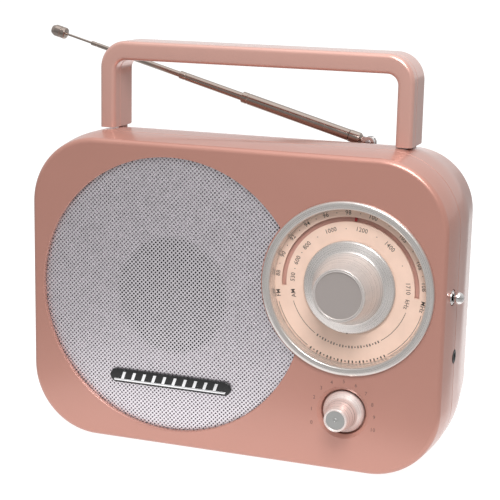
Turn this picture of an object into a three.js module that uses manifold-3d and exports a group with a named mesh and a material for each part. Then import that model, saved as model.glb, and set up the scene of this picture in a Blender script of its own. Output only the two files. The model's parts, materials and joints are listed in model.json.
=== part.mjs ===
// A portable AM/FM radio with a carry handle, built as separate pieces.
// Units are millimetres. +Z is up, the front faces -Y and +X is to the right.
// The origin is on the flat underside, midway across the width and the depth.

import * as THREE from 'three';
import { mergeVertices } from 'three/addons/utils/BufferGeometryUtils.js';
import Module from 'manifold-3d';

const wasm = await Module();
wasm.setup();

// ---------------------------------------------------------------- driving dimensions

const WIDTH = 235;
const HEIGHT = 169;
const DEPTH = 82;
const CORNER = 38;
const WALL = 2.5;
const GAP = 0.3;

const FRONT_ROUND = 3;
const REAR_ROUND = 4;
const SEAM = 20;
const BULGE = 1.8;
const TAPER_START = 39;
const TAPER_END = 78;
const TAPER_INSET = 3.8;

const GRILLE = { x: -34.4, z: 85.1, r: 76.2 };
const DIAL = { x: 65.45, z: 99.7, rim: 46.55, bore: 43 };
const VOLUME = { x: 65.5, z: 32.6, dish: 12.9 };
const LEVER = { d: 11.5, z: 98.3 };
const JACK = { d: 19.7, z: 64.7 };

const POINTER_ANGLE = THREE.MathUtils.degToRad(87);
const DIAL_SLOT_RADIUS = 36;

const HANDLE = { halfWidth: 89.5, leg: 9, foot: 171.2, top: 219.5, underside: 209 };
const HANDLE_SEAM = 35.6;
const HANDLE_FRONT = 28;
const HANDLE_BACK = 53;
const HANDLE_PIVOT = { x: 85, d: 49, z: 175.2 };

const LEDGE = { left: -78, right: 82, d: 70, z: 158.5 };
const ANTENNA_PIVOT = { x: 54, d: 75.8, z: 166.1 };
const ANTENNA_ELEVATION = THREE.MathUtils.degToRad(15.5);

const BAY = { halfWidth: 52, bottom: 14, top: 70, d: 50.5 };
const DOOR_THICKNESS = 2.2;
const BOARD = { left: 12, right: 104, bottom: 26, top: 140, d: 24, thickness: 1.6 };
const INLET = { x: 73, z: 57, width: 22, height: 14 };

const CASE_SCREWS = [[-98, 20], [98, 20], [-98, 146], [98, 146], [24, 148]];
const BOARD_SCREWS = [[28, 31], [92, 31], [31, 136], [100, 134]];

// ---------------------------------------------------------------- shape helpers

// Depths are measured from the front face of the case towards the rear.
const yAt = (depth) => depth - DEPTH / 2;

// A geometry with only positions, shared vertices and no slivers of zero area.
function weld(geometry) {
  const bare = new THREE.BufferGeometry();
  bare.setAttribute('position', geometry.getAttribute('position').clone());
  bare.setIndex(geometry.getIndex());
  const merged = mergeVertices(bare, 1e-3);
  const index = merged.getIndex().array;
  const kept = [];
  for (let i = 0; i < index.length; i += 3) {
    const [a, b, c] = [index[i], index[i + 1], index[i + 2]];
    if (a !== b && b !== c && c !== a) kept.push(a, b, c);
  }
  merged.setIndex(kept);
  return merged;
}

function toSolid(geometry) {
  const welded = weld(geometry);
  const mesh = new wasm.Mesh({
    numProp: 3,
    vertProperties: new Float32Array(welded.getAttribute('position').array),
    triVerts: new Uint32Array(welded.getIndex().array),
  });
  return new wasm.Manifold(mesh);
}

function fromSolid(solid) {
  const mesh = solid.getMesh();
  const geometry = new THREE.BufferGeometry();
  geometry.setAttribute('position', new THREE.BufferAttribute(new Float32Array(mesh.vertProperties), 3));
  geometry.setIndex(new THREE.BufferAttribute(new Uint32Array(mesh.triVerts), 1));
  return geometry;
}

function join(...geometries) {
  return fromSolid(geometries.map(toSolid).reduce((whole, piece) => whole.add(piece)));
}

function cut(geometry, ...tools) {
  return fromSolid(tools.map(toSolid).reduce((whole, tool) => whole.subtract(tool), toSolid(geometry)));
}

function common(first, second) {
  return fromSolid(toSolid(first).intersect(toSolid(second)));
}

// A flat outline in X and Z, made solid between two depths.
function slab(shape, nearDepth, farDepth, curveSegments = 12) {
  const geometry = new THREE.ExtrudeGeometry(shape, {
    depth: farDepth - nearDepth,
    bevelEnabled: false,
    curveSegments,
  });
  geometry.rotateX(Math.PI / 2);
  geometry.translate(0, yAt(farDepth), 0);
  return geometry;
}

function box(x, depth, z) {
  const geometry = new THREE.BoxGeometry(x[1] - x[0], depth[1] - depth[0], z[1] - z[0]);
  geometry.translate((x[0] + x[1]) / 2, yAt((depth[0] + depth[1]) / 2), (z[0] + z[1]) / 2);
  return geometry;
}

// A turned solid about the Y axis. A profile that starts off the axis is a ring, so it is closed.
function lathe(points, segments) {
  const profile = points.map(([radius, along]) => new THREE.Vector2(radius, along));
  if (points[0][0] > 0) profile.push(profile[0].clone());
  return new THREE.LatheGeometry(profile, segments);
}

// A turned piece on an axis along Y. Each point is [radius, depth], outer side towards the rear.
function turned(x, z, points, segments = 24) {
  const geometry = lathe(points.map(([radius, depth]) => [radius, yAt(depth)]), segments);
  geometry.translate(x, 0, z);
  return geometry;
}

// A round bar along Y between two depths.
function barY(x, z, radius, nearDepth, farDepth, segments = 12) {
  return turned(x, z, [[0, nearDepth], [radius, nearDepth], [radius, farDepth], [0, farDepth]], segments);
}

// A turned piece on the X axis itself. Each point is [radius, x], outer side towards +X.
function alongX(points, segments) {
  const geometry = lathe(points, segments);
  geometry.rotateZ(-Math.PI / 2);
  return geometry;
}

// The same, on an axis along X at a depth and height.
function turnedX(depth, z, points, segments = 20) {
  const geometry = alongX(points, segments);
  geometry.translate(0, yAt(depth), z);
  return geometry;
}

function barX(depth, z, radius, fromX, toX, segments = 16) {
  return turnedX(depth, z, [[0, fromX], [radius, fromX], [radius, toX], [0, toX]], segments);
}

// A turned piece on an upright axis. Each point is [radius, z], outer side upwards.
function turnedZ(x, depth, points, segments = 16) {
  const geometry = lathe(points, segments);
  geometry.rotateX(Math.PI / 2);
  geometry.translate(x, yAt(depth), 0);
  return geometry;
}

// A solid through a row of outlines that all have the same number of points.
function loft(outlines) {
  const count = outlines[0].points.length;
  const positions = [];
  for (const { points, depth } of outlines) {
    for (const point of points) positions.push(point.x, yAt(depth), point.y);
  }
  const index = [];
  for (let ring = 0; ring + 1 < outlines.length; ring += 1) {
    for (let i = 0; i < count; i += 1) {
      const a = ring * count + i;
      const b = ring * count + ((i + 1) % count);
      index.push(a, b, b + count, a, b + count, a + count);
    }
  }
  const last = (outlines.length - 1) * count;
  const caps = (outline) => THREE.ShapeUtils.triangulateShape(outline.points, []);
  for (const [a, b, c] of caps(outlines[0])) index.push(a, c, b);
  for (const [a, b, c] of caps(outlines.at(-1))) index.push(last + a, last + b, last + c);
  // The rings run counter-clockwise seen from the front, so every face is turned round once.
  for (let i = 0; i < index.length; i += 3) [index[i + 1], index[i + 2]] = [index[i + 2], index[i + 1]];
  const geometry = new THREE.BufferGeometry();
  geometry.setAttribute('position', new THREE.Float32BufferAttribute(positions, 3));
  geometry.setIndex(index);
  return geometry;
}

// ---------------------------------------------------------------- case outline

// How far the sides and the underside stand out from the front perimeter, at a depth.
function caseProfile() {
  const stations = [];
  for (const angle of [0, 30, 60, 90]) {
    const a = THREE.MathUtils.degToRad(angle);
    const side = FRONT_ROUND * (Math.sin(a) - 1);
    stations.push({ depth: FRONT_ROUND * (1 - Math.cos(a)), side, base: side });
  }
  for (const part of [0.35, 0.65, 1]) {
    const depth = FRONT_ROUND + part * (SEAM - FRONT_ROUND);
    stations.push({ depth, side: BULGE * Math.sin((part * Math.PI) / 2), base: 0 });
  }
  stations.push({ depth: TAPER_START, side: BULGE, base: 0 });
  for (const angle of [0, 30, 60, 90]) {
    const a = THREE.MathUtils.degToRad(angle);
    const round = REAR_ROUND * (Math.cos(a) - 1);
    stations.push({
      depth: TAPER_END + REAR_ROUND * Math.sin(a),
      side: round - TAPER_INSET,
      base: round,
    });
  }
  return stations;
}

// A rectangle with four round corners; side and base grow it outwards and downwards.
function caseOutline({ depth, side, base }, inset, cornerSteps = 7) {
  const out = side - inset;
  const under = base - inset;
  const halfX = WIDTH / 2 - CORNER;
  const corners = [
    { x: halfX, z: HEIGHT - CORNER, rz: CORNER + out, from: 0 },
    { x: -halfX, z: HEIGHT - CORNER, rz: CORNER + out, from: 90 },
    { x: -halfX, z: CORNER, rz: CORNER + under, from: 180 },
    { x: halfX, z: CORNER, rz: CORNER + under, from: 270 },
  ];
  const points = [];
  for (const corner of corners) {
    for (let step = 0; step <= cornerSteps; step += 1) {
      const a = THREE.MathUtils.degToRad(corner.from + (90 * step) / cornerSteps);
      const x = corner.x + (CORNER + out) * Math.cos(a);
      points.push(new THREE.Vector2(x, corner.z + corner.rz * Math.sin(a)));
    }
  }
  return { depth, points };
}

// The side offset of the case at a depth between the seam and the rear rounding.
function sideAt(depth) {
  if (depth <= TAPER_START) return BULGE;
  return BULGE - ((BULGE + TAPER_INSET) * (depth - TAPER_START)) / (TAPER_END - TAPER_START);
}

function hollowShell(stations, cavityStations) {
  const outer = loft(stations.map((station) => caseOutline(station, 0)));
  const cavity = loft(cavityStations.map((station) => caseOutline(station, WALL)));
  return cut(outer, cavity);
}

// ---------------------------------------------------------------- case shells

function sideHoles() {
  const outside = WIDTH / 2 + 8;
  return [
    barX(LEVER.d, LEVER.z, 4.3, WIDTH / 2 - 6, outside),
    barX(JACK.d, JACK.z, 3.9, WIDTH / 2 - 6, outside),
  ];
}

function frontShell() {
  const stations = caseProfile().filter((station) => station.depth <= SEAM);
  const cavityStations = stations.filter((station) => station.depth >= WALL);
  cavityStations.unshift({ depth: WALL, side: 0, base: 0 });
  cavityStations.push({ depth: SEAM + 1, side: BULGE, base: 0 });
  const shell = hollowShell(stations, cavityStations);

  const grilleHole = cut(
    barY(GRILLE.x, GRILLE.z, GRILLE.r, -1, WALL + 1, 56),
    barY(DIAL.x, DIAL.z, DIAL.rim + 0.65, -2, WALL + 2, 40),
  );
  const dialHole = barY(DIAL.x, DIAL.z, DIAL.bore, -1, WALL + 1, 40);
  const opened = cut(shell, grilleHole, dialHole);

  const posts = CASE_SCREWS.map(([x, z]) => barY(x, z, 4, 2, 62, 8));
  const boardPosts = BOARD_SCREWS.map(([x, z]) => barY(x, z, 3, 2, BOARD.d - GAP, 8));
  const dishBoss = barY(VOLUME.x, VOLUME.z, VOLUME.dish + 2.4, 2, 7, 24);
  const built = join(opened, dishBoss, ...posts, ...boardPosts);

  const dish = turned(VOLUME.x, VOLUME.z, [
    [0, -1], [VOLUME.dish + 2.3, -1], [VOLUME.dish + 1.4, 0], [VOLUME.dish, 1.2], [VOLUME.dish - 0.7, 4.5], [0, 4.5],
  ], 24);
  const shaftHole = barY(VOLUME.x, VOLUME.z, 4, 4, 8, 12);
  const pilots = CASE_SCREWS.map(([x, z]) => barY(x, z, 2, 46, 64, 8));
  const boardPilots = BOARD_SCREWS.map(([x, z]) => barY(x, z, 1.5, 12, BOARD.d + 1, 8));
  return cut(built, dish, shaftHole, ...pilots, ...boardPilots, ...sideHoles());
}

function rearShell() {
  const seamEdge = { depth: SEAM + GAP, side: BULGE, base: 0 };
  const stations = [seamEdge, ...caseProfile().filter((station) => station.depth > SEAM)];
  const floor = DEPTH - WALL;
  const cavityStations = [
    { depth: SEAM - 1, side: BULGE, base: 0 },
    { depth: TAPER_START, side: BULGE, base: 0 },
    { depth: TAPER_END - 2, side: sideAt(TAPER_END - 2), base: 0 },
    { depth: floor, side: -TAPER_INSET - 2.2, base: -2 },
  ];
  const shell = hollowShell(stations, cavityStations);

  const { left, right, d, z } = LEDGE;
  const insideSkin = loft(stations.map((station) => caseOutline(station, WALL / 2)));
  const ledgeBlock = box([left - WALL, right + WALL], [d - WALL, DEPTH - 2], [z - WALL, HEIGHT]);
  const ledgeLining = common(ledgeBlock, insideSkin);
  const bayLining = box([-BAY.halfWidth - 2, BAY.halfWidth + 2], [BAY.d - 2, DEPTH - 1],
    [BAY.bottom - 2, BAY.top + 2]);
  const sleeves = CASE_SCREWS.map(([x, sleeveZ]) => barY(x, sleeveZ, 5.5, 62 + GAP, DEPTH - 1, 10));
  const lugs = [-1, 1].map((side) => handleLug(side * HANDLE_PIVOT.x));
  const inletBoss = box([INLET.x - 14, INLET.x + 14], [DEPTH - 6, DEPTH - 1], [INLET.z - 10, INLET.z + 10]);
  const built = join(shell, ledgeLining, bayLining, inletBoss, ...sleeves, ...lugs);

  const ledgeCut = box([left, right], [d, DEPTH + 5], [z, HEIGHT + 5]);
  const bayCut = box([-BAY.halfWidth, BAY.halfWidth], [BAY.d, DEPTH + 5], [BAY.bottom, BAY.top]);
  const screwHoles = CASE_SCREWS.flatMap(([x, holeZ]) => [
    barY(x, holeZ, 2, 60, DEPTH, 8),
    barY(x, holeZ, 3.9, 72, DEPTH + 2, 12),
  ]);
  const inletCut = box([INLET.x - INLET.width / 2 - GAP, INLET.x + INLET.width / 2 + GAP], [70, DEPTH + 2],
    [INLET.z - INLET.height / 2 - GAP, INLET.z + INLET.height / 2 + GAP]);
  const swivelHole = turnedZ(ANTENNA_PIVOT.x, ANTENNA_PIVOT.d,
    [[0, z - 6], [2.5, z - 6], [2.5, z + 1], [0, z + 1]], 16);
  return cut(built, ledgeCut, bayCut, inletCut, swivelHole, ...screwHoles, ...sideHoles());
}

// A flat ear on the case top that stands inside the slot of one handle leg.
function handleLug(x) {
  const half = 1.3;
  const { d, z } = HANDLE_PIVOT;
  const eye = barX(d, z, 3.4, x - half, x + half, 16);
  const stem = box([x - half, x + half], [d - 3.4, d + 3.4], [HEIGHT - 2.2, z]);
  return cut(join(eye, stem), barX(d, z, 2, x - half - 1, x + half + 1, 12));
}

function caseScrew(x, z) {
  return turned(x, z, [[0, 50], [1.5, 52], [1.5, 72.3], [3.3, 72.3], [3.5, 74], [2.8, 74.8], [0, 74.8]], 12);
}

function boardScrew(x, z) {
  const back = BOARD.d + BOARD.thickness + GAP;
  return turned(x, z, [[0, 14], [1, 15], [1, back], [2.2, back], [1.8, back + 1.4], [0, back + 1.4]], 10);
}

// ---------------------------------------------------------------- speaker

function speakerGrille() {
  const plate = barY(GRILLE.x, GRILLE.z, 78, 2.8, 3.8, 48);
  return cut(plate, barY(DIAL.x, DIAL.z, 44.5, 1, 6, 40));
}

function speakerBaffle() {
  const plate = barY(GRILLE.x, GRILLE.z, 78, 4.9, 6.5, 40);
  return cut(plate, barY(GRILLE.x, GRILLE.z, 32, 4, 8, 32), barY(DIAL.x, DIAL.z, 48.5, 4, 8, 40));
}

function speakerBasket() {
  return turned(GRILLE.x, GRILLE.z, [
    [32.2, 6.9], [38.5, 6.9], [38.5, 8.4], [34.5, 8.4], [19.5, 22], [19.5, 23.6], [9, 23.6], [9, 22.2], [17.8, 22.2],
    [17.8, 21.2], [32.2, 8.4],
  ], 24);
}

function speakerCone() {
  return turned(GRILLE.x, GRILLE.z, [
    [0, 12.6], [5.5, 13.6], [8.5, 16.8], [28.5, 7.4], [30, 6.9], [31.6, 7.4], [31.2, 8], [30, 7.6], [28.8, 8.4],
    [8.6, 18.4], [8, 21.6], [7.2, 21.6], [7.2, 16.8], [0, 14.2],
  ], 24);
}

function speakerMagnet() {
  return turned(GRILLE.x, GRILLE.z, [
    [0, 23], [6.4, 23], [6.4, 24.4], [9.6, 24.4], [9.6, 23.9], [18, 23.9], [18, 26], [21, 26], [21, 34], [17, 34],
    [17, 36.5], [0, 36.5],
  ], 20);
}

// A blank trim bar with round ends, lying across the lower part of the grille.
function grilleTrim() {
  const bar = new THREE.Shape();
  const halfLength = 32;
  const halfHeight = 3.9;
  bar.absarc(halfLength, 0, halfHeight, -Math.PI / 2, Math.PI / 2, false);
  bar.absarc(-halfLength, 0, halfHeight, Math.PI / 2, (3 * Math.PI) / 2, false);
  const geometry = slab(bar, 0.6, 2.5, 6);
  geometry.translate(GRILLE.x, 0, 36.4);
  return geometry;
}

// ---------------------------------------------------------------- dial and knobs

function dialBezel() {
  return turned(DIAL.x, DIAL.z, [
    [42.9, -2], [45.9, -2], [46.55, -1.3], [46.55, -0.3], [42.7, -0.3], [42.7, 4.7], [41, 4.7], [42.2, -1.4],
  ], 40);
}

function dialPlate() {
  const plate = turned(DIAL.x, DIAL.z, [[9, 5], [42.4, 5], [42.4, 6.2], [9, 6.2]], 36);
  const halfWidth = 1.3;
  const ring = turned(DIAL.x, DIAL.z, [
    [DIAL_SLOT_RADIUS - halfWidth, 4], [DIAL_SLOT_RADIUS + halfWidth, 4], [DIAL_SLOT_RADIUS + halfWidth, 7],
    [DIAL_SLOT_RADIUS - halfWidth, 7],
  ], 36);
  const lowerPart = box([DIAL.x - 45, DIAL.x + 45], [3, 8], [DIAL.z - 45, DIAL.z - 3]);
  return cut(plate, cut(ring, lowerPart));
}

function pointerDisc() {
  return turned(DIAL.x, DIAL.z, [[6.4, 7.2], [40.6, 7.2], [40.6, 8.2], [6.4, 8.2]], 32);
}

// The mark stands on the disc and shows through the curved slot of the plate.
function dialPointer() {
  const geometry = new THREE.BoxGeometry(2, 0.9, 1.1);
  geometry.rotateY(-POINTER_ANGLE);
  geometry.translate(
    DIAL.x + DIAL_SLOT_RADIUS * Math.cos(POINTER_ANGLE),
    yAt(6.4),
    DIAL.z + DIAL_SLOT_RADIUS * Math.sin(POINTER_ANGLE),
  );
  return geometry;
}

function tuningKnob() {
  return turned(DIAL.x, DIAL.z, [
    [0, -15.6], [12.6, -15.6], [12.9, -16], [13.6, -16], [14, -15.4], [19.4, 1.6], [20.4, 2.4], [24.8, 3.5],
    [24.8, 4.6], [6, 4.6], [6, 1], [3.4, 1], [3.4, -8], [0, -8],
  ], 32);
}

function tuningShaft() {
  return turned(DIAL.x, DIAL.z, [
    [0, -7.6], [3, -7.6], [3, 6.6], [6, 6.6], [6, 9.4], [3, 9.4], [3, 21], [0, 21],
  ], 16);
}

function tuningCapacitor() {
  const can = box([DIAL.x - 12, DIAL.x + 12], [11, BOARD.d - GAP], [DIAL.z - 12, DIAL.z + 12]);
  return cut(can, barY(DIAL.x, DIAL.z, 3.4, 9, 22, 16));
}

function volumeKnob() {
  return turned(VOLUME.x, VOLUME.z, [
    [0, -14], [5.8, -14], [6.3, -13.5], [6.9, -11], [7.6, -5], [9, -1.2], [11.3, 1.6], [11.3, 3.8], [4, 3.8], [4, 2],
    [2.9, 2], [2.9, -8], [0, -8],
  ], 24);
}

function volumeShaft() {
  return turned(VOLUME.x, VOLUME.z, [[0, -7.6], [2.5, -7.6], [2.5, 19], [0, 19]], 14);
}

function volumePot() {
  const body = turned(VOLUME.x, VOLUME.z, [
    [0, 7.6], [5.5, 7.6], [5.5, 11], [9, 11], [9, BOARD.d - GAP], [0, BOARD.d - GAP],
  ], 20);
  return cut(body, barY(VOLUME.x, VOLUME.z, 2.9, 6, 20, 14));
}

// ---------------------------------------------------------------- side controls

function bandSwitchRing() {
  return turnedX(LEVER.d, LEVER.z, [[2.6, 113], [3.9, 113], [3.9, 118.5], [3.6, 118.8], [2.9, 118.8]], 20);
}

function bandLever() {
  const ball = 3.2;
  const centre = 121.4;
  const points = [[0, 108], [1.3, 108], [1.3, centre - ball + 0.2]];
  for (const angle of [-50, -25, 0, 30, 60]) {
    const a = THREE.MathUtils.degToRad(angle);
    points.push([ball * Math.cos(a), centre + ball * Math.sin(a)]);
  }
  points.push([0, centre + ball]);
  return turnedX(LEVER.d, LEVER.z, points, 16);
}

function bandSwitch() {
  const can = box([98, 112.6], [9, BOARD.d - GAP], [LEVER.z - 8, LEVER.z + 8]);
  const well = box([106, 114], [LEVER.d - 3, LEVER.d + 2.2], [LEVER.z - 4, LEVER.z + 4]);
  return cut(can, well);
}

function jackSocket() {
  return turnedX(JACK.d, JACK.z, [
    [0, 101], [4.2, 101], [4.2, 111.3], [3.6, 115.5], [3.6, 119.5], [1.9, 119.5], [1.9, 103], [0, 103],
  ]);
}

// ---------------------------------------------------------------- electronics

function circuitBoard() {
  const { left, right, bottom, top, d, thickness } = BOARD;
  const board = box([left, right], [d, d + thickness], [bottom, top]);
  const screwHoles = BOARD_SCREWS.map(([x, z]) => barY(x, z, 1.5, d - 1, d + thickness + 1, 8));
  return cut(board, ...screwHoles);
}

function onBoard(x, z, radius, height, segments = 12) {
  const back = BOARD.d + BOARD.thickness + GAP;
  return barY(x, z, radius, back, back + height, segments);
}

function onBoardBox(x, z, size, height) {
  const back = BOARD.d + BOARD.thickness + GAP;
  return box([x - size / 2, x + size / 2], [back, back + height], [z - size / 2, z + size / 2]);
}

function ferriteClip(x) {
  const arm = box([x - 3, x + 3], [60, DEPTH - WALL - 0.4], [129, 142.4]);
  return cut(arm, turnedX(68, 136, [[0, x - 4], [4.8, x - 4], [4.8, x + 4], [0, x + 4]], 16));
}

function transformerCore() {
  const block = box([58, 90], [48, 74], [15, 43]);
  return cut(block, box([63, 69], [46, 76], [20.5, 37.5]), box([79, 85], [46, 76], [20.5, 37.5]));
}

function transformerWinding() {
  const block = box([63.3, 84.7], [43.6, 78.4], [20.8, 37.2]);
  return cut(block, box([68.7, 79.3], [47.7, 74.3], [19, 39]));
}

// ---------------------------------------------------------------- battery bay

function batteryDoor() {
  const { halfWidth, bottom, top } = BAY;
  const plate = box([-halfWidth + GAP, halfWidth - GAP], [DEPTH - DOOR_THICKNESS, DEPTH], [bottom + GAP, top - GAP]);
  const grip = [0, 1, 2].map((row) => box([-12, 12], [DEPTH - 1, DEPTH + 0.6], [top - 6 - 3 * row, top - 4.8 - 3 * row]));
  const latch = box([-9, 9], [DEPTH - 5, DEPTH - 1], [top - 6, top - 3]);
  return join(plate, latch, ...grip);
}

// A conical coil spring on its end plate; side is -1 or +1 along X.
function batterySpring(side, z) {
  const turns = 2.5;
  const steps = 30;
  const wall = BAY.halfWidth - GAP;
  const centre = 65;
  const points = [];
  for (let i = 0; i <= steps; i += 1) {
    const part = i / steps;
    const angle = part * turns * 2 * Math.PI;
    const radius = 6 - 3 * part;
    points.push(new THREE.Vector3(
      side * (wall - 0.9 - 3.4 * part),
      yAt(centre) + radius * Math.cos(angle),
      z + radius * Math.sin(angle),
    ));
  }
  const wire = new THREE.Shape().absarc(0, 0, 0.55, 0, 2 * Math.PI, false);
  const coil = new THREE.ExtrudeGeometry(wire, {
    extrudePath: new THREE.CatmullRomCurve3(points),
    steps: 30,
    curveSegments: 2,
    bevelEnabled: false,
  });
  const x = side > 0 ? [wall - 0.8, wall] : [-wall, -wall + 0.8];
  return join(box(x, [centre - 8, centre + 8], [z - 8, z + 8]), coil);
}

function batteryContact(side, z) {
  const wall = BAY.halfWidth - GAP;
  const plateX = side > 0 ? [wall - 0.8, wall] : [-wall, -wall + 0.8];
  const noseX = side > 0 ? [wall - 1.8, wall - 0.4] : [-wall + 0.4, -wall + 1.8];
  return join(box(plateX, [57, 73], [z - 8, z + 8]), barX(65, z, 4, noseX[0], noseX[1], 16));
}

function inletSocket() {
  const halfX = INLET.width / 2;
  const halfZ = INLET.height / 2;
  const body = box([INLET.x - halfX, INLET.x + halfX], [62, DEPTH - 0.2], [INLET.z - halfZ, INLET.z + halfZ]);
  const well = box([INLET.x - 8.5, INLET.x + 8.5], [70, DEPTH + 1], [INLET.z - 4.2, INLET.z + 4.2]);
  const pins = [-4.2, 4.2].map((offset) => barY(INLET.x + offset, INLET.z, 1.2, 69, DEPTH - 3, 10));
  return join(cut(body, well), ...pins);
}

// ---------------------------------------------------------------- carry handle

function handleOutline(inset, depth) {
  const { halfWidth, leg, foot, top, underside } = HANDLE;
  const steps = 6;
  const points = [];
  const arc = (x, z, radius, from, to) => {
    for (let step = 0; step <= steps; step += 1) {
      const a = THREE.MathUtils.degToRad(from + ((to - from) * step) / steps);
      points.push(new THREE.Vector2(x + radius * Math.cos(a), z + radius * Math.sin(a)));
    }
  };
  const [outerR, innerR] = [15, 6];
  const innerX = halfWidth - leg;
  points.push(new THREE.Vector2(innerX + inset, foot), new THREE.Vector2(halfWidth - inset, foot));
  arc(halfWidth - outerR, top - outerR, outerR - inset, 0, 90);
  arc(-halfWidth + outerR, top - outerR, outerR - inset, 90, 180);
  points.push(new THREE.Vector2(-halfWidth + inset, foot), new THREE.Vector2(-innerX - inset, foot));
  arc(-innerX + innerR, underside - innerR, innerR + inset, 180, 90);
  arc(innerX - innerR, underside - innerR, innerR + inset, 90, 0);
  return { depth, points };
}

function handleHalf(stations) {
  return loft(stations.map(([depth, inset]) => handleOutline(inset, depth)));
}

function handleFront() {
  const near = HANDLE_FRONT;
  return handleHalf([[near, 2.2], [near + 0.7, 0.7], [near + 2.2, 0], [HANDLE_SEAM - GAP / 2, 0]]);
}

function handleRear() {
  const far = HANDLE_BACK;
  const strap = handleHalf([[HANDLE_SEAM + GAP / 2, 0], [far - 2.2, 0], [far - 0.7, 0.7], [far, 2.2]]);
  const { d, z } = HANDLE_PIVOT;
  const heel = cut(box([-100, 100], [d, d + 8], [HANDLE.foot - 4, z]), barX(d, z, 4, -101, 101, 24));
  const slots = [-1, 1].map((side) => {
    const x = side * HANDLE_PIVOT.x;
    return box([x - 1.7, x + 1.7], [d - 5.4, d + 6], [HANDLE.foot - 1, z + 5]);
  });
  const bores = [-1, 1].map((side) => {
    const x = side * HANDLE_PIVOT.x;
    return barX(d, z, 2, x - 3.5, x + 3.5, 12);
  });
  return cut(strap, heel, ...slots, ...bores);
}

function handlePin(x) {
  return barX(HANDLE_PIVOT.d, HANDLE_PIVOT.z, 1.6, x - 3.2, x + 3.2, 12);
}

// ---------------------------------------------------------------- antenna

// Stations along the antenna, measured out from the tilt pivot.
const TUBES = [
  { name: 'antenna_section_1', outer: 3.3, bore: 2.6, from: 12.3, to: 78.9 },
  { name: 'antenna_section_2', outer: 2.35, bore: 1.95, from: 52, to: 119.3 },
  { name: 'antenna_section_3', outer: 1.7, bore: 1.45, from: 85.3, to: 153.3 },
  { name: 'antenna_section_4', outer: 1.3, bore: 0.85, from: 112.4, to: 178.4 },
];
const ROD = { outer: 0.68, from: 131.7, to: 195.7, tip: 205.4, cap: 3.5 };

function antennaBase() {
  const { x, d, z } = ANTENNA_PIVOT;
  const foot = LEDGE.z + GAP;
  const turntable = turnedZ(x, d, [[0, 150], [2.1, 150], [2.1, foot], [4.6, foot], [4.6, 161.2], [0, 161.2]], 20);
  const cheeks = [[d - 3, d - 1.5], [d + 1.5, d + 3]].map((span) => join(
    box([x - 3.4, x + 3.4], span, [161, z]),
    barY(x, z, 3.4, span[0], span[1], 20),
  ));
  const pin = barY(x, z, 1.2, d - 3.6, d + 3.6, 10);
  return join(turntable, ...cheeks, pin);
}

// Built along +X from the tilt pivot at the origin, with the pivot pin along Y.
function antennaKnuckle() {
  const tongue = new THREE.CylinderGeometry(3.2, 3.2, 2.4, 20);
  const neck = new THREE.BoxGeometry(8, 2.4, 4.6);
  neck.translate(4, 0, 0);
  const collar = alongX([[0, 5.2], [3.5, 5.6], [3.5, 12], [0, 12]], 20);
  const bore = new THREE.CylinderGeometry(1.6, 1.6, 6, 10);
  return cut(join(tongue, neck, collar), bore);
}

function antennaTube({ outer, bore, from, to }) {
  return alongX([[bore, from], [outer, from], [outer, to], [bore, to]], 16);
}

function antennaRod() {
  const { outer, from, to, tip, cap } = ROD;
  return alongX([
    [0, from], [outer, from], [outer, to], [cap - 0.5, to], [cap, to + 0.6], [cap, tip - 3], [cap - 0.9, tip - 0.9],
    [cap - 2, tip], [0, tip],
  ], 16);
}

// ---------------------------------------------------------------- materials

const finish = (color, roughness, metalness) => new THREE.MeshStandardMaterial({ color, roughness, metalness });

const roseGold = finish(0xc79f8f, 0.32, 0.55);
const silver = finish(0xc9c6c4, 0.3, 0.9);
const chrome = finish(0xe6e6e8, 0.08, 1);
const cream = finish(0xe6cdb6, 0.6, 0);
const arcBrown = finish(0xa87968, 0.5, 0);
const pointerRed = finish(0x8c1f22, 0.5, 0);
const blackPlastic = finish(0x1c1b1b, 0.55, 0);
const baffleGrey = finish(0x9a8f8a, 0.7, 0);
const paper = finish(0x26221f, 0.85, 0);
const steel = finish(0x8d8f92, 0.45, 0.9);
const board = finish(0x8b6a34, 0.6, 0);
const copper = finish(0xa5602f, 0.4, 0.7);
const ferrite = finish(0x2b2a2b, 0.5, 0);
const whitePlastic = finish(0xd9d6ce, 0.5, 0);

// ---------------------------------------------------------------- assembly

const radio = new THREE.Group();

function add(name, geometry, material, parent = radio) {
  const mesh = new THREE.Mesh(weld(geometry), material);
  mesh.name = name;
  parent.add(mesh);
}

add('front_shell', frontShell(), roseGold);
add('rear_shell', rearShell(), roseGold);
CASE_SCREWS.forEach(([x, z], i) => add(`case_screw_${i + 1}`, caseScrew(x, z), steel));

add('speaker_grille', speakerGrille(), silver);
add('grille_trim', grilleTrim(), chrome);
add('speaker_baffle', speakerBaffle(), baffleGrey);
add('speaker_basket', speakerBasket(), steel);
add('speaker_cone', speakerCone(), paper);
add('speaker_magnet', speakerMagnet(), ferrite);

add('dial_bezel', dialBezel(), silver);
add('dial_plate', dialPlate(), cream);
add('pointer_disc', pointerDisc(), arcBrown);
add('dial_pointer', dialPointer(), pointerRed);
add('tuning_knob', tuningKnob(), silver);
add('tuning_shaft', tuningShaft(), steel);
add('tuning_capacitor', tuningCapacitor(), whitePlastic);
add('volume_knob', volumeKnob(), silver);
add('volume_shaft', volumeShaft(), steel);
add('volume_potentiometer', volumePot(), steel);

add('band_switch_ring', bandSwitchRing(), silver);
add('band_lever', bandLever(), chrome);
add('band_switch', bandSwitch(), steel);
add('jack_socket', jackSocket(), blackPlastic);

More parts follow.
